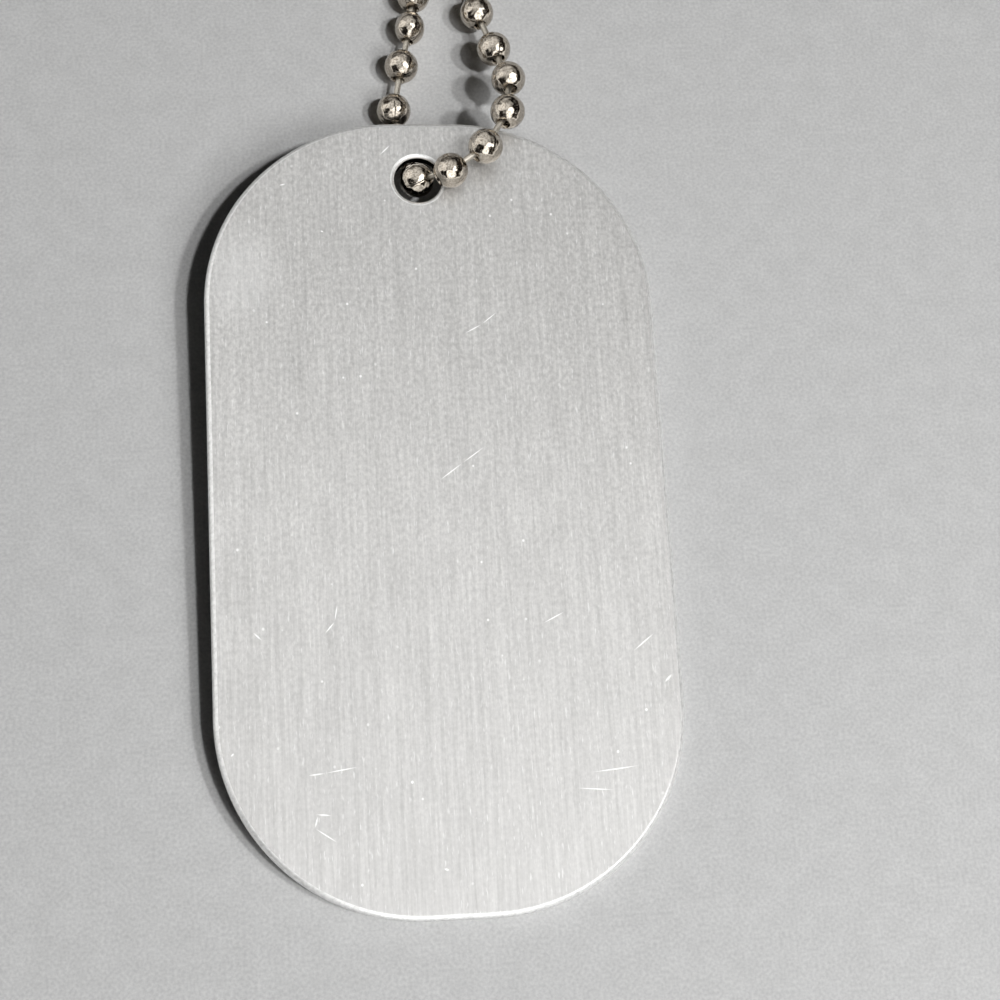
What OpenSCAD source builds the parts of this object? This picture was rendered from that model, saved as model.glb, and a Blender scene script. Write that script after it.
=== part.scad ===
// Identification tag on a ball chain, as it lies on a flat surface.
// The tag is a rounded sheet that leans on the chain bead beneath its top end.
// The chain is one closed loop: hollow balls, each with a headed pin that is held
// captive inside the next ball, and a small sleeve that joins the two end balls.
// Lengths are millimetres and angles are degrees.

/* [Tag plate] */
// Width of the plate
tag_w = 28.6; // [26:0.1:32]
// Length of the plate
tag_l = 50.8; // [46:0.1:58]
// Thickness of the sheet
tag_t = 0.9; // [0.7:0.05:1.2]
// Radius of the four corners, at most half the width
corner_r = 12.35; // [8:0.05:13]
// Radius that rounds the plate's edge on both faces, as far as its thickness allows
edge_r = 0.4; // [0.1:0.01:0.45]
// Diameter of the hole for the chain
hole_d = 3; // [2.9:0.1:3.6]
// Distance from the plate's top end to the middle of the hole
hole_in = 4; // [3.4:0.1:4.2]
// Distance of the hole to the left of the plate's middle
hole_aside = 0.5; // [0:0.1:1]
// Width of the chamfer round the hole, on both faces
hole_chamfer = 0.2; // [0.05:0.05:0.3]
// How far the plate leans over to its right side
tag_roll = 3; // [0:0.1:3.5]

/* [Ball chain] */
// Diameter of a ball
ball_d = 2.25; // [2:0.05:2.3]
// Wall thickness of the hollow balls
ball_wall = 0.2; // [0.15:0.01:0.25]
// Diameter of the pins between the balls
pin_d = 0.45; // [0.35:0.01:0.5]
// Diameter of the round head that ends each pin
head_d = 1.1; // [1:0.01:1.2]
// Clearance round a pin where it enters a ball
pin_gap = 0.2; // [0.12:0.01:0.22]
// Distance of a pin's head from the middle of the ball that holds it
head_back = 0.2; // [0:0.01:0.22]
// Spacing of the balls along the plain part of the loop
pitch = 3; // [2.8:0.05:3.3]
// Clearance between the chain and the plate where they rest on each other
rest_gap = 0.1; // [0.1:0.01:0.2]

/* [Connector] */
// Wall thickness of the sleeve that joins the two end balls
sleeve_wall = 0.25; // [0.2:0.01:0.4]
// Clearance between the sleeve and the balls in it
sleeve_gap = 0.15; // [0.1:0.01:0.3]
// Length of chain over which the route rises on each side of the sleeve
sleeve_run = 12; // [8:1:24]

/* [Hidden] */
$fn = 64;
ball_fn = 32;
cut = 1;

// A curve of this share of the thickness on each face leaves a flat between them
edge_share = 0.45;
edge = min(edge_r, edge_share * tag_t);

// The plate leans on its lower right corner and on the bead under its top end.
// Places are measured from the middle of the hole, with the surface at z = 0.
r = min(corner_r, tag_w / 2);
bead_lay = ball_d / 2;
bead_under = [-0.6, 2.9];
corner_x = [hole_aside - tag_w / 2 + r, hole_aside + tag_w / 2 - r];
corner_y = [hole_in - tag_l + r, hole_in - r];
corners = [for (x = corner_x) for (y = corner_y) [x, y]];

// The lengthwise slope at which the underside just clears that bead: its height there
// is lean_run * slope_y + turn_r * norm([slope_x, slope_y]) above the resting corner
slope_x = -sin(tag_roll);
lean_run = bead_under.y - corner_y[0];
turn_r = r - edge;
lean_rise = ball_d + rest_gap - slope_x * (bead_under.x - corner_x[1]);
run_rest = lean_run * lean_run - turn_r * turn_r;
slope_y = (lean_rise * lean_run
    - turn_r * sqrt(lean_rise * lean_rise + run_rest * slope_x * slope_x)) / run_rest;
tag_tilt = asin(slope_y / cos(tag_roll));
slope_z = cos(tag_roll) * cos(tag_tilt);
lowest = min([for (c = corners) slope_x * c.x + slope_y * c.y + slope_z * edge])
    - turn_r * norm([slope_x, slope_y]) - edge;
tag_lift = -lowest;

// Height of the plate's upper face above the surface, at a place seen from above
function face_z(x, y) = tag_lift
    + (tag_t - sin(tag_roll) * cos(tag_tilt) * x + sin(tag_tilt) * y) / slope_z;

// The beads that were placed one by one, from the left strand under the plate,
// up through the hole, over the plate's top end and down to the surface again
beside_hole = 2.1;
hole_sink = 0.55;
in_hole = face_z(0, 0) - hole_sink;
on_face = face_z(beside_hole, 0) + bead_lay + rest_gap;
placed_beads = [
    [0.45, 17.35, bead_lay],
    [0.5, 14.5, bead_lay],
    [0.15, 12.05, bead_lay],
    [-0.55, 9.2, bead_lay],
    [-1.2, 5.95, bead_lay],
    [bead_under.x, bead_under.y, bead_lay],
    [0, 0.2, in_hole],
    [beside_hole, 0, on_face],
    [4.4, 1.45, on_face + 0.4],
    [6, 4, on_face + 0.15],
    [6.3, 6.9, 3.4],
    [5.6, 9.8, 2.15],
    [4.7, 12.95, 1.4],
    [4.5, 16.1, 1.2],
    [4.6, 19.2, bead_lay],
];

// The plain way round: one side of the loop, mirrored about the line x = loop_mid
loop_mid = 2.5;
loop_side = [[3, 28], [7, 44], [18, 70], [36, 102], [54, 140], [63, 177], [58, 212], [36, 243]];
loop_top = [loop_mid, 253.5];
last = len(loop_side) - 1;
placed_last = len(placed_beads) - 1;
function flat(p) = [p.x, p.y];
route = concat(
    [for (i = [placed_last - 1, placed_last]) flat(placed_beads[i])],
    [for (p = loop_side) [loop_mid + p.x, p.y]],
    [loop_top],
    [for (i = [last:-1:0]) [loop_mid - loop_side[i].x, loop_side[i].y]],
    [for (i = [0, 1]) flat(placed_beads[i])]
);

// A smooth curve through the route, and the distance run along it
function blend(a, b, c, d, t) = 0.5 * (2 * b + (c - a) * t
    + (2 * a - 5 * b + 4 * c - d) * t * t + (3 * b - a - 3 * c + d) * t * t * t);
steps = 24;
spans = len(route) - 3;
curve = [for (i = [0:spans * steps])
    let (k = min(floor(i / steps), spans - 1))
    blend(route[k], route[k + 1], route[k + 2], route[k + 3], i / steps - k)];
run = [for (i = 0, s = 0; i < len(curve);
    i = i + 1, s = s + (i < len(curve) ? norm(curve[i] - curve[i - 1]) : 0)) s];
loop_run = run[len(run) - 1];
along_x = [for (i = [0:len(run) - 1]) [run[i], curve[i].x]];
along_y = [for (i = [0:len(run) - 1]) [run[i], curve[i].y]];

// An odd number of equal gaps, so that the sleeve takes the middle one
gaps = 2 * floor(loop_run / pitch / 2) + 1;
gap = loop_run / gaps;
half = (gaps - 1) / 2;
sleeve_d = ball_d + 2 * sleeve_gap + 2 * sleeve_wall;
sleeve_rise = sleeve_gap + sleeve_wall;
function rise(s) = sleeve_rise
    * max(0, min(1, (sleeve_run - abs(s - loop_run / 2)) / (sleeve_run - gap)));
function on_loop(s) = [lookup(s, along_x), lookup(s, along_y), bead_lay + rise(s)];
beads = concat(
    [for (k = [half + 1:gaps - 1]) on_loop(k * gap)],
    placed_beads,
    [for (k = [1:half]) on_loop(k * gap)]
);
bead_last = len(beads) - 1;
bead_in_hole = half + 6;

// The sleeve lies between the first and the last bead
end_a = beads[bead_last];
end_b = beads[0];
sleeve_l = norm(end_b - end_a) + ball_d + 2 * sleeve_gap + 2 * sleeve_wall;

// Everything is moved so that the origin is the middle of the whole, on the surface
bead_xs = [for (p = beads) p.x];
bead_ys = [for (p = beads) p.y];
middle_x = (min(bead_xs) + max(bead_xs)) / 2;
middle_y = (max(bead_ys) + sleeve_d / 2 - (tag_l - hole_in) * cos(tag_tilt)) / 2;

module laid() {
    translate([-middle_x, -middle_y, 0]) children();
}

// Turns what is drawn along +Z to the direction v
module aimed(v) {
    rotate([0, acos(v.z / norm(v)), atan2(v.y, v.x)]) children();
}

// Section of the sheet, w wide, with its four edges rounded
module sheet_section(w) {
    square([w - 2 * edge, tag_t], center = true);
    square([w, tag_t - 2 * edge], center = true);
    for (x = [-1, 1]) for (y = [-1, 1])
        translate([x * (w / 2 - edge), y * (tag_t / 2 - edge)]) circle(edge);
}

// A straight run of that section along Y, l long, lying on z = 0
module sheet_bar(w, l) {
    translate([0, 0, tag_t / 2]) rotate([90, 0, 0])
        linear_extrude(l, center = true) sheet_section(w);
}

module corner_disc() {
    translate([0, 0, tag_t / 2]) rotate_extrude() intersection() {
        sheet_section(2 * r);
        translate([0, -tag_t]) square([r + cut, 2 * tag_t]);
    }
}

module tag_blank() {
    translate([hole_aside, hole_in - tag_l / 2, 0]) {
        sheet_bar(tag_w, tag_l - 2 * r);
        rotate([0, 0, 90]) sheet_bar(tag_l, tag_w - 2 * r);
    }
    for (c = corners) translate([c.x, c.y, 0]) corner_disc();
}

module chain_hole() {
    translate([0, 0, -cut]) cylinder(d = hole_d, h = tag_t + 2 * cut);
    translate([0, 0, tag_t - hole_chamfer])
        cylinder(d1 = hole_d, d2 = hole_d + 2 * hole_chamfer, h = hole_chamfer);
    cylinder(d1 = hole_d + 2 * hole_chamfer, d2 = hole_d, h = hole_chamfer);
}

module tag_plate() {
    color("gainsboro") laid() translate([0, 0, tag_lift])
        rotate([tag_tilt, tag_roll, 0]) difference() {
            tag_blank();
            chain_hole();
        }
}

// A hollow ball with a hole towards the bead before it, where there is one,
// and a headed pin that reaches into the bead after it, where there is one
module link(before, here, after) {
    way = is_undef(after) ? here - before : after - here;
    back = is_undef(before) ? here - after : before - here;
    way_turn = atan2(way.y, way.x);
    bend = (atan2(back.y, back.x) - way_turn + 360) % 360;
    translate(here) difference() {
        union() {
            // The ball is turned so that its seam stays clear of the pin and the hole
            rotate([0, 0, way_turn + bend / 2 + (bend < 180 ? 180 : 0)]) hollow_ball();
            if (!is_undef(after)) aimed(way) headed_pin(norm(way) - head_back);
        }
        if (!is_undef(before)) aimed(back)
            cylinder(d = pin_d + 2 * pin_gap, h = ball_d, $fn = ball_fn);
    }
}

module hollow_ball() {
    difference() {
        sphere(d = ball_d, $fn = ball_fn);
        sphere(d = ball_d - 2 * ball_wall, $fn = ball_fn);
    }
}

// The pin starts in the middle of its ball's wall and ends in its head
module headed_pin(reach) {
    root = (ball_d - ball_wall) / 2;
    translate([0, 0, root]) cylinder(d = pin_d, h = reach - root, $fn = ball_fn);
    translate([0, 0, reach]) sphere(d = head_d, $fn = ball_fn);
}

// The two strands meet in the plate's hole, where the bead in it starts the second
module strand(from, to) {
    laid() for (i = [from:to]) link(beads[i - 1], beads[i], beads[i + 1]);
}

module chain_left() {
    color("silver") strand(0, bead_in_hole - 1);
}

module chain_right() {
    color("silver") strand(bead_in_hole, bead_last);
}

// A closed-end sleeve with a slot for the pins and a window for the balls
module connector() {
    inner_d = sleeve_d - 2 * sleeve_wall;
    slot_w = pin_d + 2 * pin_gap;
    color("silver") laid() translate((end_a + end_b) / 2) aimed(end_b - end_a)
        difference() {
            cylinder(d = sleeve_d, h = sleeve_l, center = true);
            cylinder(d = inner_d, h = sleeve_l - 2 * sleeve_wall, center = true);
            cylinder(d = slot_w, h = sleeve_l + cut, center = true);
            translate([-sleeve_d / 2, 0, 0])
                cube([sleeve_d, slot_w, sleeve_l + cut], center = true);
            translate([-sleeve_d / 2, 0, 0])
                cube([sleeve_d, inner_d, inner_d], center = true);
        }
}

tag_plate();
chain_left();
chain_right();
connector();
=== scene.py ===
# %% [markdown]
# # An identification tag on a ball chain
# The object is a flat tag of sheet aluminium, threaded on a necklace of fine ball chain.
# It lies on a pale surface: the tag leans on one ball of the chain that passes beneath
# it, and the rest of the necklace runs away in one plain loop.
#
# The measured model of the parts is already made. Loading it gives a frame of solids,
# in metres, with the origin in the middle of the whole piece on the surface. Each new
# piece below is modelled in that frame, rides on its body and stands for its solid.

# %% Load the frame
import math
import random
import bpy
from mathutils import Matrix, Vector


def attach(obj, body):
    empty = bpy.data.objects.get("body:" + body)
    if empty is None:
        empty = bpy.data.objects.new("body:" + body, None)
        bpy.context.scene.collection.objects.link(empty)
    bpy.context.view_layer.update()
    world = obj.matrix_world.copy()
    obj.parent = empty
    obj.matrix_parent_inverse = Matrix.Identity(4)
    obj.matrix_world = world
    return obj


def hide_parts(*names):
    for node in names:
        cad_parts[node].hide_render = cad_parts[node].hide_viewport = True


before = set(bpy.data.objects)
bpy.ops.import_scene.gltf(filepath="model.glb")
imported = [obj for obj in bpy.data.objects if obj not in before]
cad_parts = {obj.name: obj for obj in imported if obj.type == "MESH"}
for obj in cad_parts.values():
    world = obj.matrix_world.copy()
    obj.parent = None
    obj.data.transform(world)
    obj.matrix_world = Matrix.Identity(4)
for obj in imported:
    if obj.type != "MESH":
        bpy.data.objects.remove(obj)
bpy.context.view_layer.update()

MM = 0.001
print("nodes:", sorted(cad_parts))

# %% [markdown]
# Blender's operators act on whatever is selected, and loading leaves the solids
# selected. So one helper clears the selection, and a second one selects a piece alone.

# %% Selecting a piece
def deselect():
    if bpy.context.object and bpy.context.object.mode != "OBJECT":
        bpy.ops.object.mode_set(mode="OBJECT")
    bpy.ops.object.select_all(action="DESELECT")


def pick(*pieces):
    """Selects these pieces alone, with the last one active."""
    deselect()
    for piece in pieces:
        piece.select_set(True)
    bpy.context.view_layer.objects.active = pieces[-1]


print("selected after loading:", len(bpy.context.selected_objects))
deselect()
print("selected now:", len(bpy.context.selected_objects))

# %% [markdown]
# In edit mode the same holds for faces and edges. A third helper picks them by a test of
# their place or normal. A fourth adds a modifier to a piece and applies it.

# %% Selecting faces and edges, and modifying
def pick_parts(piece, kind, wanted):
    """Selects, in edit mode, faces by wanted(face) or edges by wanted(end, end)."""
    pick(piece)
    bpy.ops.object.mode_set(mode="EDIT")
    bpy.ops.mesh.select_mode(type=kind)
    bpy.ops.mesh.select_all(action="DESELECT")
    bpy.ops.object.mode_set(mode="OBJECT")
    points = [vertex.co for vertex in piece.data.vertices]
    if kind == "FACE":
        found = [face for face in piece.data.polygons if wanted(face)]
    else:
        found = [edge for edge in piece.data.edges
                 if wanted(*(points[i] for i in edge.vertices))]
    for part in found:
        part.select = True
    bpy.ops.object.mode_set(mode="EDIT")
    return len(found)


def modify(piece, kind, **settings):
    pick(piece)
    bpy.ops.object.modifier_add(type=kind)
    modifier = piece.modifiers[-1]
    for name, value in settings.items():
        setattr(modifier, name, value)
    bpy.ops.object.modifier_apply(modifier=modifier.name)
    print(piece.name, "after", kind.lower() + ":", len(piece.data.polygons), "faces")


TINY, NEAR = 1e-7, 1e-6
print("rounding allowed for in mm:", round(TINY / MM, 6), "and", round(NEAR / MM, 6))

# %% [markdown]
# ## Where the tag lies
# The tag is 28.6 by 50.8 mm, of sheet 0.9 mm thick, with corners of nearly half its
# width and a 3 mm hole for the chain. Its upper end leans on a ball and its lower right
# corner on the surface, so it is turned by two small angles about the hole. A pattern
# that follows the sheet is turned by the same two angles.

# %% The tag's sizes and lean
TAG_W, TAG_L, TAG_T = 28.6 * MM, 50.8 * MM, 0.9 * MM
CORNER_R, EDGE_R = 12.35 * MM, 0.4 * MM
HOLE_R, HOLE_RIM = 1.5 * MM, 0.3 * MM
HOLE_IN, HOLE_ASIDE = 4 * MM, 0.5 * MM
LEAN = (math.radians(2.17841), math.radians(3), 0)
HOLE = Vector((-2.50405, -104.126, 2.20935)) * MM
TAG_MIDDLE = Vector((HOLE_ASIDE, HOLE_IN - TAG_L / 2, TAG_T / 2))
lean_matrix = Matrix.Rotation(LEAN[1], 4, "Y") @ Matrix.Rotation(LEAN[0], 4, "X")
tag_place = Matrix.Translation(HOLE) @ lean_matrix
print("tag's middle at", [round(x / MM, 2) for x in tag_place @ TAG_MIDDLE])

# %% [markdown]
# ## The tag's blank
# Such tags are punched from sheet, then tumbled with ceramic chips until the edge is
# nearly round. A cube at the sheet's size is a good start: its four upright edges are
# bevelled into the corners with many segments, the hole is cut with a Boolean, and the
# rims are bevelled after that, so that the rounding runs evenly all the way round.

# %% Punch the blank
CORNER_STEPS = 40
deselect()
bpy.ops.mesh.primitive_cube_add(size=1, location=TAG_MIDDLE, scale=(TAG_W, TAG_L, TAG_T))
tag = bpy.context.object
tag.name = "tag_sheet_metal"
bpy.ops.object.transform_apply(location=True, rotation=True, scale=True)
upright = pick_parts(tag, "EDGE", lambda a, b: abs(a.z - b.z) > TAG_T / 2)
bpy.ops.mesh.bevel(
    offset=CORNER_R, segments=CORNER_STEPS, affect="EDGES", clamp_overlap=False)
bpy.ops.object.mode_set(mode="OBJECT")
print("upright edges:", upright, "vertices with corners:", len(tag.data.vertices))

# %% Cut the hole
def cut(piece, cutter):
    """Takes the cutter's shape out of the piece, and the cutter out of the scene."""
    modify(piece, "BOOLEAN", object=cutter, operation="DIFFERENCE", solver="EXACT")
    bpy.data.objects.remove(cutter)


HOLE_SIDES = 96
deselect()
bpy.ops.mesh.primitive_cylinder_add(
    vertices=HOLE_SIDES, radius=HOLE_R, depth=4 * TAG_T, location=(0, 0, TAG_T / 2))
cut(tag, bpy.context.object)
print("vertices with the hole:", len(tag.data.vertices))

# %% [markdown]
# The rims lie in the two faces of the sheet. Those of the hole are told from the outer
# ones by their distance from the hole's middle, which is the origin for now. An outer
# edge has both ends and its middle on the outline, or both ends on it in a corner.

# %% Find the rims
def on_face(a, b):
    return abs(a.z - b.z) < TINY and (abs(a.z) < TINY or abs(a.z - TAG_T) < TINY)


def at_hole(a, b):
    return all(abs(p.xy.length - HOLE_R) < NEAR for p in (a, b))


def depth_inside(p):
    """How far inside the tag's outline a point lies."""
    x = abs(p.x - TAG_MIDDLE.x) - (TAG_W / 2 - CORNER_R)
    y = abs(p.y - TAG_MIDDLE.y) - (TAG_L / 2 - CORNER_R)
    return CORNER_R - (math.hypot(x, y) if x > 0 and y > 0 else max(x, y))


def at_outline(a, b):
    ends, middle = [abs(depth_inside(p)) < NEAR for p in (a, b)], (a + b) / 2
    return all(ends) and (abs(depth_inside(middle)) < NEAR or (a - b).length < CORNER_CHORD)


CORNER_CHORD = 1.5 * MM
print("the hole's middle is", round(depth_inside(Vector()) / MM, 2), "mm inside")

# %% Round the rims
HOLE_STEPS, EDGE_STEPS = 6, 8
hole_rims = pick_parts(tag, "EDGE", lambda a, b: on_face(a, b) and at_hole(a, b))
bpy.ops.mesh.bevel(
    offset=HOLE_RIM, segments=HOLE_STEPS, affect="EDGES", clamp_overlap=False)
outer_rims = pick_parts(tag, "EDGE", lambda a, b: on_face(a, b) and at_outline(a, b))
bpy.ops.mesh.bevel(
    offset=EDGE_R, segments=EDGE_STEPS, profile=0.5, affect="EDGES", clamp_overlap=False)
bpy.ops.mesh.select_all(action="SELECT")
bpy.ops.mesh.remove_doubles(threshold=TINY)
bpy.ops.mesh.normals_make_consistent(inside=False)
bpy.ops.object.mode_set(mode="OBJECT")
print("rim edges:", hole_rims, outer_rims, "faces:", len(tag.data.polygons))

# %% [markdown]
# The brushed finish needs to know which way the grooves run. A UV map gives that: its U
# runs across the tag and its V along it. The map is made while the tag is still level,
# and so are the lists of the faces that get a finish of their own: the steep ones in
# the hole are its wall, and the others that turn away from the flat are rounded.

# %% Map the tag and sort its faces
STEEP, FLAT = 0.6, 0.995
pick(tag)
bpy.ops.object.mode_set(mode="EDIT")
bpy.ops.mesh.select_all(action="SELECT")
bpy.ops.uv.cube_project(cube_size=TAG_L, scale_to_bounds=False)
bpy.ops.object.mode_set(mode="OBJECT")
hole_wall = [face.index for face in tag.data.polygons
             if face.center.xy.length < HOLE_R + HOLE_RIM and abs(face.normal.z) < STEEP]
rounded = [face.index for face in tag.data.polygons
           if abs(face.normal.z) < FLAT and face.index not in hole_wall]
print("rounded faces:", len(rounded), "faces of the hole's wall:", len(hole_wall))

# %% Lay the tag down
tag.data.transform(tag_place)
bpy.ops.object.shade_smooth()
modify(tag, "WEIGHTED_NORMAL", keep_sharp=True, weight=100)
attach(tag, "root")
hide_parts("tag_plate")
print("lowest point in mm:", round(min(v.co.z for v in tag.data.vertices) / MM, 4))

# %% [markdown]
# ## Materials
# Hex colours are what one would pick on a screen (sRGB). Shaders count in linear light,
# so one function turns them. Another adds a shader node with its settings and links, and
# hands on the output that the next node is to read.

# %% Colours
def linear(hex_colour):
    parts = [int(hex_colour[i:i + 2], 16) / 255 for i in (1, 3, 5)]
    return [p / 12.92 if p <= 0.04045 else ((p + 0.055) / 1.055) ** 2.4
            for p in parts] + [1.0]


print("a screen's middle grey is", [round(x, 3) for x in linear("#808080")])

# %% Nodes
def add(tree, kind, inputs={}, out=None, stops=(), **settings):
    """Adds a node, and gives the output called out, or else its first one in use.

    An input is told by its name or number among those in use. One that is a socket is
    linked, and a hex colour is turned linear. Stops are a colour ramp's places with
    their colours, where a plain number is a grey.
    """
    node = tree.nodes.new("ShaderNode" + kind)
    for name, value in settings.items():
        setattr(node, name, value)
    used = [socket for socket in node.inputs if socket.enabled]
    named = {socket.name: socket for socket in reversed(used)}
    for key, value in inputs.items():
        socket = used[key] if isinstance(key, int) else named[key]
        if isinstance(value, bpy.types.NodeSocket):
            tree.links.new(value, socket)
        else:
            socket.default_value = linear(value) if isinstance(value, str) else value
    for place, (position, colour) in enumerate(stops):
        stop = node.color_ramp.elements[place]
        stop.position = position
        stop.color = linear(colour) if isinstance(colour, str) else [colour] * 3 + [1.0]
    return next((socket for socket in node.outputs
                 if socket.enabled and out in (None, socket.name)), None)


def new_material(name):
    material = bpy.data.materials.new(name)
    material.use_nodes = True
    material.node_tree.nodes.clear()
    return material, material.node_tree


# Settings that come back: a pattern stretched to a size, one colour laid over another,
# and one multiplied by another. Nearly all of a noise lies between LOW and HIGH.
SIZED, OVER = {"vector_type": "TEXTURE"}, {"data_type": "RGBA"}
TIMES = {"data_type": "RGBA", "blend_type": "MULTIPLY"}
LOW, HIGH = 0.3, 0.7
print("a noise is read from", LOW, "to", HIGH)

# %% [markdown]
# ## The tag's finish: brushed sheet aluminium
# The sheet was brushed lengthwise before it was punched, and tumbling has softened the
# grain. The eye sees short pale streaks, a tenth of a millimetre wide and up to a
# millimetre or so long, over softer bands, with a few scratches, bright specks and a
# patch near the upper left that fingers have rubbed pale. The metal is a broad, satin
# mirror, so it goes from grey to white as it turns to the light. Its oxide skin also
# scatters part of the light evenly, which is where the balls' shadows on it show, so it
# isn't metallic to the full.
#
# A Mapping node of the texture kind undoes the tag's place and turn. A second one's
# scale is then the size of one grain. The real grooves are about 0.03 mm wide, which is
# too fine to show, so the finest ones here are drawn at four times that.

# %% The sheet's grain
GRAINS = {  # mm across, along and through the sheet, then the noise's detail and roughness
    "sand": ((0.23, 0.30, 1), 2, 0.6),
    "fine": ((0.15, 3.5, 1), 2, 0.5),
    "streaks": ((0.38, 20, 1), 3, 0.5),
    "clouds": ((2.2, 3.5, 6), 3, 0.5),
    "bright lines": ((0.12, 0.8, 1), 2, 0.6)}


def tag_coords(tree):
    """Places on the level tag, in metres from the hole's middle."""
    return add(tree, "Mapping", {"Vector": add(tree, "TexCoord", out="Object"),
                                 "Location": HOLE, "Rotation": LEAN}, **SIZED)


brushed, tree = new_material("brushed sheet aluminium")
coords = tag_coords(tree)
grain = {}
for name, (size, detail, roughness) in GRAINS.items():
    sized = add(tree, "Mapping", {"Vector": coords, "Scale": Vector(size) * MM}, **SIZED)
    grain[name] = add(tree, "TexNoise", {
        "Vector": sized, "Scale": 1.0, "Detail": detail, "Roughness": roughness})
print("grains:", ", ".join(grain))

# %% [markdown]
# The scratches are placed one by one, as x, y of both ends in millimetres from the
# hole's middle and then the width. Each is a long thin ellipsoid, bright in the middle.

# %% Scratches
SCRATCHES = [
    (-2.4, 1.7, -1.7, 2.4, 0.12), (2.5, -10.5, 3.6, -9.9, 0.10),
    (3.6, -9.9, 4.6, -9.1, 0.09), (0.4, -20.1, 1.9, -19.0, 0.11),
    (1.9, -19.0, 3.3, -18.0, 0.10), (-11.3, -29.3, -10.8, -29.8, 0.14),
    (-7.0, -29.5, -6.4, -28.8, 0.11), (-6.4, -28.8, -6.2, -27.7, 0.09),
    (6.3, -29.3, 7.7, -28.6, 0.10), (11.8, -31.2, 13.2, -30.1, 0.12),
    (13.6, -33.2, 14.1, -32.7, 0.16), (-8.3, -38.0, -7.3, -37.9, 0.12),
    (-7.3, -37.9, -5.3, -37.6, 0.09), (-7.9, -40.3, -7.0, -40.4, 0.12),
    (-7.8, -40.4, -8.0, -41.1, 0.11), (-8.0, -41.1, -6.7, -42.0, 0.10),
    (8.7, -38.5, 11.7, -38.2, 0.09), (7.7, -39.4, 10.0, -39.6, 0.08),
    (-0.5, -43.8, -0.2, -43.9, 0.16), (-6.4, -3.5, -6.2, -3.6, 0.14),
    (-8.9, -0.4, -8.5, -0.3, 0.12), (-12.8, -36.7, -12.6, -36.5, 0.14)]
MARK_DEPTH = TAG_T / 3
marks = 0.0
for x1, y1, x2, y2, width in SCRATCHES:
    placed = add(tree, "Mapping", {
        "Vector": coords, "Location": ((x1 + x2) / 2 * MM, (y1 + y2) / 2 * MM, TAG_T),
        "Rotation": (0, 0, math.atan2(y2 - y1, x2 - x1)),
        "Scale": (math.hypot(x2 - x1, y2 - y1) / 2 * MM, width / 2 * MM, MARK_DEPTH)},
        **SIZED)
    mark = add(tree, "TexGradient", {"Vector": placed}, out="Fac", gradient_type="SPHERICAL")
    marks = add(tree, "Math", {0: marks, 1: mark}, operation="MAXIMUM")
print("scratches:", len(SCRATCHES))

# %% [markdown]
# The grain shows more toward the upper end. That end is also painted a little darker,
# which is painted shade. So a number that runs from 0 at the lower end to 1 at the upper
# end steers both.

# %% The sheet's grey
upward = add(tree, "VectorMath", {0: coords, 1: (0, 1 / TAG_L, 0)}, operation="DOT_PRODUCT")
upward = add(tree, "Math", {0: upward, 1: 1 - HOLE_IN / TAG_L}, operation="ADD")
tone = add(tree, "ValToRGB", {"Fac": grain["sand"]},
           stops=[(LOW, "#CDCCCB"), (HIGH, "#ECEBE9")])
shown = add(tree, "ValToRGB", {"Fac": upward}, stops=[(0.0, 0.3), (0.75, 1.0)])
tone = add(tree, "Mix", {"Factor": shown, "A": "#D9D8D7", "B": tone}, **OVER)
# Painted shade: the grey is multiplied down to 0.88 toward the upper end.
painted_shade_above = add(tree, "ValToRGB", {"Fac": upward}, stops=[(0.48, 1.0), (0.85, 0.88)])
tone = add(tree, "Mix", {"Factor": 1.0, "A": tone, "B": painted_shade_above}, **TIMES)
for name, least in (("fine", 0.86), ("streaks", 0.89), ("clouds", 0.93)):
    band = add(tree, "ValToRGB", {"Fac": grain[name]}, stops=[(LOW, least), (HIGH, 1.0)])
    tone = add(tree, "Mix", {"Factor": 1.0, "A": tone, "B": band}, **TIMES)
print("the sheet's grey takes", len(tree.nodes), "nodes so far")

# %% [markdown]
# Four things are paler than that: fine bright lines, a bright speck in some of the cells
# of a Voronoi pattern a millimetre wide, the scratches, and the patch rubbed by fingers.

# %% The sheet's pale marks
SPECK_CELL = Vector((1.05, 1.2, 40)) * MM
PATCH_AT, PATCH_SIZE = (-11.6 * MM, -6.4 * MM, TAG_T), (3.2 * MM, 4 * MM, TAG_T)
lines = add(tree, "ValToRGB", {"Fac": grain["bright lines"]},
            stops=[(0.61, 0.0), (0.74, 0.45)])
sized = add(tree, "Mapping", {"Vector": coords, "Scale": SPECK_CELL}, **SIZED)
distance = add(tree, "TexVoronoi", {"Vector": sized, "Scale": 1.0, "Randomness": 1.0})
cell_colour = distance.node.outputs["Color"]
chosen = add(tree, "ValToRGB", {"Fac": cell_colour}, stops=[(0.52, 0.0), (0.75, 1.0)])
dots = add(tree, "ValToRGB", {"Fac": distance}, stops=[(0.05, 0.9), (0.10, 0.0)])
specks = add(tree, "Mix", {"Factor": 1.0, "A": dots, "B": chosen}, **TIMES)
cuts = add(tree, "ValToRGB", {"Fac": marks}, stops=[(0.0, 0.0), (0.6, 1.0)])
placed = add(tree, "Mapping", {
    "Vector": coords, "Location": PATCH_AT, "Scale": PATCH_SIZE}, **SIZED)
patch = add(tree, "TexGradient", {"Vector": placed}, out="Fac", gradient_type="SPHERICAL")
rubbed = add(tree, "ValToRGB", {"Fac": patch}, stops=[(0.0, 0.0), (0.7, 0.18)])
for share in (lines, specks, cuts, rubbed):
    tone = add(tree, "Mix", {"Factor": share, "A": tone, "B": "#FFFFFF"}, **OVER)
print("with its pale marks:", len(tree.nodes), "nodes")

# %% [markdown]
# The grooves stretch highlights across the sheet, which is what the anisotropy gives,
# and a bump of a few thousandths of a millimetre lets them and the scratches catch light.

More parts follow.
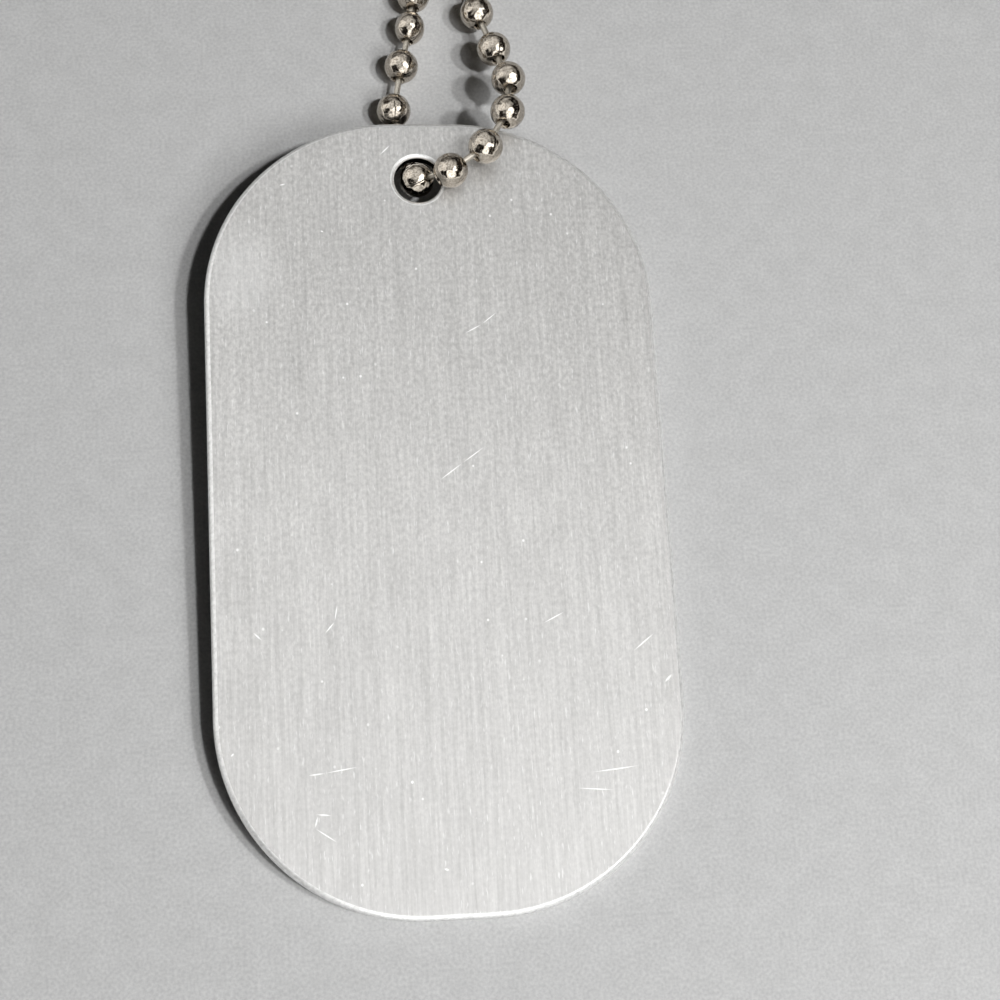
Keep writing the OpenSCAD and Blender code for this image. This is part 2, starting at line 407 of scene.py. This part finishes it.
# %% The sheet's sheen
SHEET_METAL, GROOVE, CUT_TO_GROOVE = 0.65, 0.006 * MM, 3.0
rough = add(tree, "ValToRGB", {"Fac": grain["clouds"]}, stops=[(LOW, 0.40), (HIGH, 0.46)])
deep = add(tree, "Math", {0: marks, 1: CUT_TO_GROOVE}, operation="MULTIPLY")
height = add(tree, "Math", {0: grain["fine"], 1: deep}, operation="ADD")
bump = add(tree, "Bump", {"Height": height, "Strength": 0.3, "Distance": GROOVE})
across = add(tree, "Tangent", direction_type="UV_MAP", uv_map="UVMap")
add(tree, "OutputMaterial", {"Surface": add(tree, "BsdfPrincipled", {
    "Base Color": tone, "Metallic": SHEET_METAL, "Roughness": rough, "Anisotropic": 0.25,
    "Tangent": across, "Normal": bump})})
print("whole finish:", len(tree.nodes), "nodes")

# %% [markdown]
# Tumbling takes the grain off what sticks out. So the rounded edge and the hole's rim
# are the same aluminium without brushing: an even satin with small nicks, in which a
# window shows as a white line along the tag's lower end.

# %% The edge's material
NICK = Vector((0.25, 0.25, 0.2)) * MM
burnished, tree = new_material("burnished aluminium edge")
sized = add(tree, "Mapping", {"Vector": tag_coords(tree), "Scale": NICK}, **SIZED)
nicks = add(tree, "TexNoise", {"Vector": sized, "Scale": 1.0, "Detail": 3})
tone = add(tree, "ValToRGB", {"Fac": nicks}, stops=[(LOW, "#D9D9D8"), (0.6, "#F1F1F0")])
bump = add(tree, "Bump", {"Height": nicks, "Strength": 0.25, "Distance": 0.03 * MM})
add(tree, "OutputMaterial", {"Surface": add(tree, "BsdfPrincipled", {
    "Base Color": tone, "Metallic": SHEET_METAL, "Roughness": 0.42, "Normal": bump})})
print("edge:", len(tree.nodes), "nodes")

# %% [markdown]
# Deeper in the hole, the punch tore the metal instead of cutting it. That wall is rough,
# and tumbling chips don't reach it. Its near-black colour is painted shade, for the deep
# shade inside the hole.

# %% The hole's wall
TEAR = Vector((0.06, 0.06, 0.4)) * MM
torn_with_painted_shade, tree = new_material("ragged aluminium with painted shade in the punched hole")
sized = add(tree, "Mapping", {"Vector": tag_coords(tree), "Scale": TEAR}, **SIZED)
tears = add(tree, "TexNoise", {"Vector": sized, "Scale": 1.0, "Detail": 2})
# Painted shade: the wall is coloured nearly black.
tone = add(tree, "ValToRGB", {"Fac": tears}, stops=[(LOW, "#0B0A0A"), (HIGH, "#171615")])
bump = add(tree, "Bump", {"Height": tears, "Strength": 0.5, "Distance": 0.04 * MM})
add(tree, "OutputMaterial", {"Surface": add(tree, "BsdfPrincipled", {
    "Base Color": tone, "Metallic": 1.0, "Roughness": 0.6, "Normal": bump})})
print("hole's wall:", len(tree.nodes), "nodes")

# %% [markdown]
# A piece keeps its finishes in numbered slots, from 0 on, and each face says which slot
# it takes. Every face has slot 0, the brushed finish, unless it is given another.

# %% Give the tag its three finishes
for finish in (brushed, burnished, torn_with_painted_shade):
    tag.data.materials.append(finish)
for slot, faces in ((1, rounded), (2, hole_wall)):
    for index in faces:
        tag.data.polygons[index].material_index = slot
print("the tag's finishes:", [finish.name for finish in tag.data.materials])

# %% [markdown]
# ## The chain's finish: nickel-plated steel
# Nickel is a warm white metal. The balls are polished by barrelling, so they mirror the
# room, but their thin wall keeps dents and flats from the forming rolls: the mirrored
# lamps break up and bend. So the surface is nearly smooth, and a soft bump of about half
# a millimetre carries the dents. A finer noise gives a few dull marks. The connector's
# sleeve is rolled from thicker strip, so its dents are wider and far shallower.

# %% Polished nickel
WEAR = 0.12 * MM
nickels = []
for name, dent, depth in (("polished nickel plate", 0.6 * MM, 0.22 * MM),
                          ("nickel plate on rolled strip", 1.1 * MM, 0.06 * MM)):
    plate, tree = new_material(name)
    coords = add(tree, "TexCoord", out="Object")
    dents = add(tree, "TexNoise", {"Vector": coords, "Scale": 1 / dent, "Detail": 1})
    wear = add(tree, "TexNoise", {"Vector": coords, "Scale": 1 / WEAR, "Detail": 3})
    tone = add(tree, "ValToRGB", {"Fac": wear}, stops=[(LOW, "#988F84"), (0.6, "#C6BEB2")])
    rough = add(tree, "ValToRGB", {"Fac": wear}, stops=[(0.45, 0.12), (0.75, 0.28)])
    bump = add(tree, "Bump", {"Height": dents, "Strength": 0.6, "Distance": depth})
    add(tree, "OutputMaterial", {"Surface": add(tree, "BsdfPrincipled", {
        "Base Color": tone, "Metallic": 1.0, "Roughness": rough, "Normal": bump})})
    nickels.append(plate)
    print(name, "has", len(tree.nodes), "nodes")
nickel, sleeve_nickel = nickels

# %% [markdown]
# The pins are cut from drawn wire. The die leaves it satin, and the plating on it is
# thin, so it is paler and far less of a mirror than the balls.

# %% Drawn wire
DRAWN = 0.1 * MM
wire, tree = new_material("nickel plated drawn wire")
coords = add(tree, "TexCoord", out="Object")
drawn = add(tree, "TexNoise", {"Vector": coords, "Scale": 1 / DRAWN, "Detail": 2})
tone = add(tree, "ValToRGB", {"Fac": drawn}, stops=[(LOW, "#B2ACA1"), (HIGH, "#D0CABF")])
bump = add(tree, "Bump", {"Height": drawn, "Strength": 0.3, "Distance": 0.02 * MM})
add(tree, "OutputMaterial", {"Surface": add(tree, "BsdfPrincipled", {
    "Base Color": tone, "Metallic": 1.0, "Roughness": 0.42, "Normal": bump})})
print("wire:", len(tree.nodes), "nodes")

# %% [markdown]
# ## The chain's route
# The chain is 203 balls, 610 mm round. Fifteen of them were placed one by one from the
# photograph: the left strand, the ball that the tag leans on, the one in the hole, and
# the right strand that climbs over the tag's end and comes down again. The others follow
# a smooth curve (Catmull-Rom) through a few points, spaced evenly along its length.

# %% Points that the chain passes, in mm from the hole
BALL_R = 1.125
IN_HOLE, ON_FACE = 2.56124, 4.22618
PLACED = [
    (0.45, 17.35, BALL_R), (0.5, 14.5, BALL_R), (0.15, 12.05, BALL_R), (-0.55, 9.2, BALL_R),
    (-1.2, 5.95, BALL_R), (-0.6, 2.9, BALL_R), (0, 0.2, IN_HOLE), (2.1, 0, ON_FACE),
    (4.4, 1.45, ON_FACE + 0.4), (6, 4, ON_FACE + 0.15), (6.3, 6.9, 3.4), (5.6, 9.8, 2.15),
    (4.7, 12.95, 1.4), (4.5, 16.1, 1.2), (4.6, 19.2, BALL_R)]
LOOP_MID, LOOP_END = 2.5, 253.5
SIDE = [(3, 28), (7, 44), (18, 70), (36, 102), (54, 140), (63, 177), (58, 212), (36, 243)]
route = [Vector(p[:2]) for p in PLACED[-2:]] \
    + [Vector((LOOP_MID + x, y)) for x, y in SIDE] + [Vector((LOOP_MID, LOOP_END))] \
    + [Vector((LOOP_MID - x, y)) for x, y in reversed(SIDE)] \
    + [Vector(p[:2]) for p in PLACED[:2]]
print("placed balls:", len(PLACED), "points of the plain loop:", len(route))

# %% The plain loop's curve
PITCH, STEPS = 3.0, 24


def blend(a, b, c, d, t):
    return 0.5 * (2 * b + (c - a) * t + (2 * a - 5 * b + 4 * c - d) * t * t
                  + (3 * b - a - 3 * c + d) * t ** 3)


spans = len(route) - 3
curve = []
for i in range(spans * STEPS + 1):
    k = min(i // STEPS, spans - 1)
    curve.append(blend(*route[k:k + 4], i / STEPS - k))
run = [0.0]
for a, b in zip(curve, curve[1:]):
    run.append(run[-1] + (b - a).length)
gaps = 2 * int(run[-1] / PITCH / 2) + 1
gap = run[-1] / gaps
print("loop:", round(run[-1], 1), "mm in", gaps, "gaps of", round(gap, 3))

# %% [markdown]
# The connector's sleeve is thicker than a ball, so the balls at both its ends are raised
# a little, and those before them rise toward it. In the list of all balls, the first
# placed one is number half, counted from the connector.

# %% Where each ball is
SLEEVE_RISE, SLEEVE_RUN = 0.4, 12.0


def on_loop(s):
    """The middle of a ball that lies s millimetres along the plain loop."""
    k = max(i for i, r in enumerate(run[:-1]) if r <= s)
    flat = curve[k].lerp(curve[k + 1], (s - run[k]) / (run[k + 1] - run[k]))
    rise = (SLEEVE_RUN - abs(s - run[-1] / 2)) / (SLEEVE_RUN - gap)
    return Vector((flat.x, flat.y, BALL_R + SLEEVE_RISE * max(0, min(1, rise))))


half = (gaps - 1) // 2
balls = [on_loop(k * gap) for k in range(half + 1, gaps)] \
    + [Vector(p) for p in PLACED] + [on_loop(k * gap) for k in range(1, half + 1)]
hole_xy = Vector((HOLE.x, HOLE.y, 0))
balls = [p * MM + hole_xy for p in balls]
BALL_IN_HOLE = half + [p[2] for p in PLACED].index(IN_HOLE)
length = sum((b - a).length for a, b in zip(balls, balls[1:] + balls[:1]))
print("balls:", len(balls), "length round:", round(length / MM, 1), "mm")

# %% [markdown]
# ## One fine ball
# A ball is curled up from a nickel-plated steel strip: it is hollow, open at both poles
# for the pins, and its edges meet in a fine seam from pole to pole. It starts as a UV
# sphere. Its polar caps are taken off, one meridian is opened by a narrow bevel whose
# faces are deleted, and Solidify then gives it a wall, so that the openings have depth.

# %% Model the fine ball
SEGMENTS, RINGS, CAP_RINGS = 48, 24, 3
SEAM_HALF, SEAM_LOW = 0.022 * MM, -0.25 * BALL_R * MM
deselect()
bpy.ops.mesh.primitive_uv_sphere_add(
    segments=SEGMENTS, ring_count=RINGS, radius=BALL_R * MM)
fine_ball = bpy.context.object
fine_ball.name = "fine_ball"
cap_z = BALL_R * MM * math.cos(math.pi * CAP_RINGS / RINGS)
caps = pick_parts(fine_ball, "FACE", lambda face: abs(face.center.z) > cap_z)
bpy.ops.mesh.delete(type="FACE")
seam = pick_parts(fine_ball, "EDGE", lambda a, b: max(abs(a.y), abs(b.y)) < TINY
                  and a.x > 0 and min(a.z, b.z) > SEAM_LOW)
bpy.ops.mesh.bevel(offset=SEAM_HALF, segments=1, affect="EDGES", clamp_overlap=False)
bpy.ops.mesh.delete(type="FACE")
bpy.ops.object.mode_set(mode="OBJECT")
print("cap faces:", caps, "seam edges:", seam)

# %% [markdown]
# The rims that the pins pass through are rolled slightly inwards on the real chain, which
# gives each opening a bright line. A small bevel on the wall's rims does the same.

# %% Give it a wall and soft rims
BALL_WALL, BALL_RIM = 0.2 * MM, 0.035 * MM
RIM_BEVEL = {"segments": 2, "limit_method": "ANGLE", "angle_limit": math.radians(50)}
modify(fine_ball, "SOLIDIFY", thickness=BALL_WALL, offset=-1)
modify(fine_ball, "BEVEL", width=BALL_RIM, **RIM_BEVEL)
bpy.ops.object.shade_smooth_by_angle(angle=math.radians(40))
print("fine ball:", len(fine_ball.data.polygons), "faces")

# %% [markdown]
# ## One fine pin
# Between two balls runs a short wire whose ends are upset into heads, and the heads are
# held loose inside the balls. Only the wire between them is seen. It starts as a
# cylinder one unit long, so that a copy can be drawn out to any gap. It is cut across
# twice, and drawn in a little there, because upsetting leaves its ends wider.

# %% Model the fine pin
PIN_R, WAIST, DRAWN_IN = 0.225 * MM, 0.16, 0.9
deselect()
bpy.ops.mesh.primitive_cylinder_add(vertices=20, radius=PIN_R, depth=1)
fine_pin = bpy.context.object
fine_pin.name = "fine_pin"
for level in (WAIST, -WAIST):
    pick_parts(fine_pin, "FACE", lambda face: True)
    bpy.ops.mesh.bisect(plane_co=(0, 0, level), plane_no=(0, 0, 1))
waist = pick_parts(fine_pin, "EDGE", lambda a, b: abs(abs(a.z) - WAIST) < 1e-4
                   and abs(a.z - b.z) < NEAR)
bpy.ops.transform.resize(value=(DRAWN_IN, DRAWN_IN, 1), center_override=(0, 0, 0))
bpy.ops.object.mode_set(mode="OBJECT")
bpy.ops.object.shade_smooth_by_angle(angle=math.radians(50))
print("fine pin:", len(fine_pin.data.polygons), "faces,", waist, "edges drawn in")

# %% [markdown]
# ## One plain link
# Most of the two hundred links are far from where anyone looks closely. They are one
# ball and its pin in a few dozen faces, smooth shaded.

# %% Model the plain link
deselect()
bpy.ops.mesh.primitive_uv_sphere_add(segments=10, ring_count=6, radius=BALL_R * MM)
plain_ball = bpy.context.object
plain_ball.name = "plain_ball"
bpy.ops.object.shade_smooth()
deselect()
bpy.ops.mesh.primitive_cylinder_add(vertices=6, radius=PIN_R, depth=1)
plain_pin = bpy.context.object
plain_pin.name = "plain_pin"
bpy.ops.object.shade_smooth_by_angle(angle=math.radians(70))
print("plain link:", len(plain_ball.data.polygons) + len(plain_pin.data.polygons), "faces")

# %% [markdown]
# Balls and pins get their finish before they are copied, so every copy has it.

# %% Finish the links
for source, finish in ((fine_ball, nickel), (plain_ball, nickel),
                       (fine_pin, wire), (plain_pin, wire)):
    source.data.materials.append(finish)
    print(source.name, "is", finish.name)

# %% [markdown]
# ## Threading the chain
# A copy of a ball is turned so that its poles lie along the chain, and rolled by chance
# about that line, with a fixed seed so that it comes out the same each time. Where the
# chain bends gently its poles lie between the directions of both pins, and where it
# bends sharply they follow the second pin. One ball of the left strand was pinched at
# some time, and is a tenth narrower than the others.

# %% How a link lies
SHARP_BEND = math.radians(36)
PINCHED, PINCHED_TO = BALL_IN_HOLE - 4, 0.89
FINE_TAG, FINE_SLEEVE = range(half - 3, half + len(PLACED) + 5), 3


def turned(direction, roll=0.0, across=1.0):
    return direction.to_track_quat("Z", "Y").to_matrix().to_4x4() \
        @ Matrix.Diagonal((across, 1, 1, 1)) @ Matrix.Rotation(roll, 4, "Z")


def is_fine(i):
    return i in FINE_TAG or min(i, len(balls) - 1 - i) < FINE_SLEEVE


def axis_of(i):
    before = balls[i] - balls[i - 1] if i else None
    after = balls[i + 1] - balls[i] if i + 1 < len(balls) else None
    if before is None or after is None:
        return (after or before).normalized()
    before.normalize()
    after.normalize()
    return after if before.angle(after) > SHARP_BEND else (before + after).normalized()


print("finely modelled balls:", sum(is_fine(i) for i in range(len(balls))))

# %% [markdown]
# A copy of a pin is drawn out to reach from ball to ball. The copies are then joined
# into one piece a strand. Balls near the tag and near the connector are the fine ones.

# %% Copying and joining
PIN_HIDDEN = 1.3 * BALL_R * MM


def copy_of(source, matrix):
    made = source.copy()
    made.data = source.data.copy()
    made.data.transform(matrix)
    bpy.context.collection.objects.link(made)
    return made


def strand(name, first, last):
    parts = []
    for i in range(first, last + 1):
        ball, pin = (fine_ball, fine_pin) if is_fine(i) else (plain_ball, plain_pin)
        roll = random.uniform(0, 2 * math.pi)
        across = PINCHED_TO if i == PINCHED else 1.0
        lying = Matrix.Translation(balls[i]) @ turned(axis_of(i), roll, across)
        parts.append(copy_of(ball, lying))
        if i + 1 < len(balls):
            way = balls[i + 1] - balls[i]
            stretched = turned(way) @ Matrix.Diagonal((1, 1, way.length - PIN_HIDDEN, 1))
            middle = Matrix.Translation((balls[i] + balls[i + 1]) / 2)
            parts.append(copy_of(pin, middle @ stretched))
    pick(*parts)
    bpy.ops.object.join()
    made = bpy.context.object
    made.name = made.data.name = name
    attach(made, "root")
    print(name, "parts:", len(parts), "faces:", len(made.data.polygons))
    return made


print("a pin is shorter than its gap by", round(PIN_HIDDEN / MM, 2), "mm")

# %% Thread both strands
random.seed(11)
chain_left = strand("ball_chain_left", 0, BALL_IN_HOLE - 1)
chain_right = strand("ball_chain_right", BALL_IN_HOLE, len(balls) - 1)
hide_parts("chain_left")
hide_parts("chain_right")
for source in (fine_ball, fine_pin, plain_ball, plain_pin):
    bpy.data.objects.remove(source)

# %% [markdown]
# ## The connector
# The two end balls snap into a short sleeve of the same metal. It has closed ends, a
# slot for the pins along its upper side, and a wider window in the middle through which
# a ball goes in. It starts as a cylinder; the bore, the slot and the window are cut with
# Booleans. Its outside is two thousandths of a millimetre inside the measured one's.

# %% Model the connector's body and bore
SLEEVE_WALL, SLEEVE_GAP, INSIDE_BY, SLEEVE_SIDES = 0.25 * MM, 0.15 * MM, 0.002 * MM, 48
inner_r = BALL_R * MM + SLEEVE_GAP
outer_r = inner_r + SLEEVE_WALL
end_a, end_b = balls[-1], balls[0]
sleeve_l = (end_b - end_a).length + 2 * outer_r
deselect()
bpy.ops.mesh.primitive_cylinder_add(
    vertices=SLEEVE_SIDES, radius=outer_r - INSIDE_BY, depth=sleeve_l)
sleeve = bpy.context.object
sleeve.name = "chain_connector"
deselect()
bpy.ops.mesh.primitive_cylinder_add(
    vertices=SLEEVE_SIDES, radius=inner_r, depth=sleeve_l - 2 * SLEEVE_WALL)
cut(sleeve, bpy.context.object)
print("connector:", round(sleeve_l / MM, 2), "mm long,", round(2 * outer_r / MM, 2), "wide")

# %% Cut its slot and window
PIN_SLOT = 0.85 * MM
for width, run_length in ((PIN_SLOT, sleeve_l + 1 * MM), (2 * inner_r, 2 * inner_r)):
    deselect()
    bpy.ops.mesh.primitive_cube_add(
        size=1, location=(0, outer_r, 0), scale=(width, 2 * outer_r, run_length))
    bpy.ops.object.transform_apply(location=True, rotation=True, scale=True)
    cut(sleeve, bpy.context.object)
print("slot", round(PIN_SLOT / MM, 2), "mm wide, window", round(2 * inner_r / MM, 2))

# %% [markdown]
# A small bevel takes the sharpness off every rim. The sleeve was modelled upright at the
# origin, so it is then laid between the chain's two end balls with its slot upwards.

# %% Soften the connector and lay it down
SLEEVE_RIM = 0.05 * MM
modify(sleeve, "BEVEL", width=SLEEVE_RIM, **RIM_BEVEL)
bpy.ops.object.shade_smooth_by_angle(angle=math.radians(35))
along = (end_b - end_a).normalized()
upwards = Vector((0, 0, 1))
turn = Matrix((upwards.cross(along), upwards, along)).transposed().to_4x4()
sleeve.data.transform(Matrix.Translation((end_a + end_b) / 2) @ turn)
sleeve.data.materials.clear()
sleeve.data.materials.append(sleeve_nickel)
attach(sleeve, "root")
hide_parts("connector")
print("top in mm:", round(max(v.co.z for v in sleeve.data.vertices) / MM, 3))

# %% [markdown]
# ## The surface
# The piece lies on a pale matte board, with no shine at all, so its shadows stay dark.
# It has a fine mottle a fifth of a millimetre wide, and a broader one of one and a half.

# %% Floor
FLOOR_SIZE, MOTTLE, SPREAD = 40, 0.2 * MM, 1.6 * MM
deselect()
bpy.ops.mesh.primitive_plane_add(size=FLOOR_SIZE, location=(0, 0, 0))
floor = bpy.context.object
floor.name = "pale_floor"
board, tree = new_material("matte pale board")
coords = add(tree, "TexCoord", out="Object")
mottle = add(tree, "TexNoise", {"Vector": coords, "Scale": 1 / MOTTLE, "Detail": 2})
spread = add(tree, "TexNoise", {"Vector": coords, "Scale": 1 / SPREAD, "Detail": 2})
tone = add(tree, "ValToRGB", {"Fac": mottle}, stops=[(LOW, "#C1C1C1"), (HIGH, "#D3D3D2")])
shade = add(tree, "ValToRGB", {"Fac": spread}, stops=[(LOW, 0.94), (HIGH, 1.0)])
tone = add(tree, "Mix", {"Factor": 1.0, "A": tone, "B": shade}, **TIMES)
add(tree, "OutputMaterial", {"Surface": add(tree, "BsdfPrincipled", {
    "Base Color": tone, "Roughness": 0.6, "Specular IOR Level": 0.0})})
floor.data.materials.append(board)
print("board:", len(tree.nodes), "nodes")

# %% [markdown]
# ## Light
# The shadows in the photograph fall to the left in two steps, so there are two rather
# small lamps on the right, one higher than the other. Suns keep the far floor as bright
# as the near one. A faint fill, and a soft panel at the viewer's right, make the board
# paler toward the picture's lower right corner. The lamps light the board and cast the
# shadows, and metal doesn't mirror them: what it mirrors is the room, set further down.

# %% Lamps
SUNS = [  # name, degrees round from +Y to +X, degrees up, strength, degrees wide
    ("high_lamp", 127.7, 62.2, 1.15, 3.6),
    ("low_lamp", 113.8, 54.6, 0.87, 3.6),
    ("side_fill", 50, 54, 0.03, 45)]


def toward(azimuth, elevation):
    a, e = math.radians(azimuth), math.radians(elevation)
    return Vector((math.cos(e) * math.sin(a), math.cos(e) * math.cos(a), math.sin(e)))


def lamp(kind, name, place, aim, energy):
    deselect()
    facing = (place - aim).to_track_quat("Z", "Y").to_euler()
    bpy.ops.object.light_add(type=kind, location=place, rotation=facing)
    made = bpy.context.object
    made.name = name
    made.data.energy = energy
    made.visible_glossy = False
    return made


for name, azimuth, elevation, strength, wide in SUNS:
    sun = lamp("SUN", name, toward(azimuth, elevation), Vector(), strength)
    sun.data.angle = math.radians(wide)
    print(name, "shines from", azimuth, "degrees round and", elevation, "up")

# %% The soft panel
PANEL_AT, PANEL_AIM = Vector((92, -118, 150)) * MM, Vector((20, -35, 0)) * MM
PANEL_W, PANEL_H, PANEL_WATTS = 100 * MM, 80 * MM, 0.195
panel = lamp("AREA", "soft_panel", hole_xy + PANEL_AT, hole_xy + PANEL_AIM, PANEL_WATTS)
panel.data.shape = "RECTANGLE"
panel.data.size, panel.data.size_y = PANEL_W, PANEL_H

# %% [markdown]
# What the metal mirrors matters as much as the lamps. The room is made of a few soft
# parts, told apart only by direction: patchy dark brown walls, a pale band just above
# the table, a broad bright ceiling, a window behind the camera's lower side, a pale
# wall on the left with a dark gap beside it, and the bright faces of the two lamps.
# Only mirrored rays see this room, so it doesn't lighten the shadows on the board.
# Colours above 1 are brighter than white, as a window and a lamp are.

# %% The room's walls
room = bpy.data.worlds.new("room")
bpy.context.scene.world = room
room.use_nodes = True
room.cycles_visibility.diffuse = False
tree = room.node_tree
tree.nodes.clear()
way = add(tree, "TexCoord", out="Generated")
noise = add(tree, "TexNoise", {"Vector": way, "Scale": 3.0, "Detail": 2.0})
patches = add(tree, "ValToRGB", {"Fac": noise}, stops=[(0.42, 0.15), (0.58, 1.0)])
light = add(tree, "Mix", {"Factor": 1.0, "A": patches, "B": "#40372F"}, **TIMES)
up = add(tree, "VectorMath", {0: way, 1: (0, 0, 1)}, operation="DOT_PRODUCT")
low_band = add(tree, "ValToRGB", {"Fac": up}, stops=[(0.10, 1.0), (0.22, 0.0)])
side = add(tree, "VectorMath", {0: way, 1: toward(188, 0)}, operation="DOT_PRODUCT")
side = add(tree, "Math", {0: side, 1: 0.5, 2: 0.5}, operation="MULTIPLY_ADD")
band_side = add(tree, "ValToRGB", {"Fac": side}, stops=[(0.05, 0.2), (0.6, 1.0)])
band = add(tree, "Math", {0: low_band, 1: band_side}, operation="MULTIPLY")
light = add(tree, "Mix", {"Factor": band, "A": light, "B": (1.6, 1.6, 1.58, 1)}, **OVER)
print("the room's walls:", len(tree.nodes), "nodes")

# %% The room's bright and dark parts
ROOM_PARTS = [  # name, degrees round and up, cosines at its rim and inside, share, colour
    ("ceiling", 335, 70, 0.60, 0.95, 1.0, (1.0, 1.0, 0.99, 1)),
    ("window", 180, 38, 0.88, 0.95, 1.0, (2.4, 2.4, 2.38, 1)),
    ("pale wall", 285, 36, 0.84, 0.94, 0.85, (1.6, 1.59, 1.56, 1)),
    ("dark gap", 228, 26, 0.87, 0.95, 0.95, "#1A1512"),
    ("lamp faces", 121, 59, 0.934, 0.961, 1.0, (3.9, 3.9, 3.86, 1))]
for name, azimuth, elevation, rim, inside, share, colour in ROOM_PARTS:
    near = add(tree, "VectorMath", {0: way, 1: toward(azimuth, elevation)},
               operation="DOT_PRODUCT")
    part = add(tree, "ValToRGB", {"Fac": near}, stops=[(rim, 0.0), (inside, share)])
    light = add(tree, "Mix", {"Factor": part, "A": light, "B": colour}, **OVER)
    print(name, "spans", round(2 * math.degrees(math.acos(rim))), "degrees")
background = add(tree, "Background", {"Color": light, "Strength": 1.0})
add(tree, "OutputWorld", {"Surface": background})
bpy.context.scene.view_settings.view_transform = "Standard"

# %% [markdown]
# ## Camera
# The photograph was taken from nearly overhead. The camera's place and turn come from
# fitting the tag's outline, with a 72 mm lens on a 36 mm sensor.

# %% Camera
LENS, SENSOR, NEAREST = 72, 36, 0.001
CAMERA_AT = hole_xy + Vector((-6.7167, -56.8183, 120.4258)) * MM
CAMERA_TURN = [math.radians(x) for x in (16.8577, -4.1606, -3.5429)]
deselect()
bpy.ops.object.camera_add(location=CAMERA_AT, rotation=CAMERA_TURN)
camera = bpy.context.object
camera.data.lens = LENS
camera.data.sensor_width = SENSOR
camera.data.clip_start = NEAREST
bpy.context.scene.camera = camera
print("camera in mm:", [round(x / MM, 1) for x in camera.location])

# %% Clear the selection
deselect()
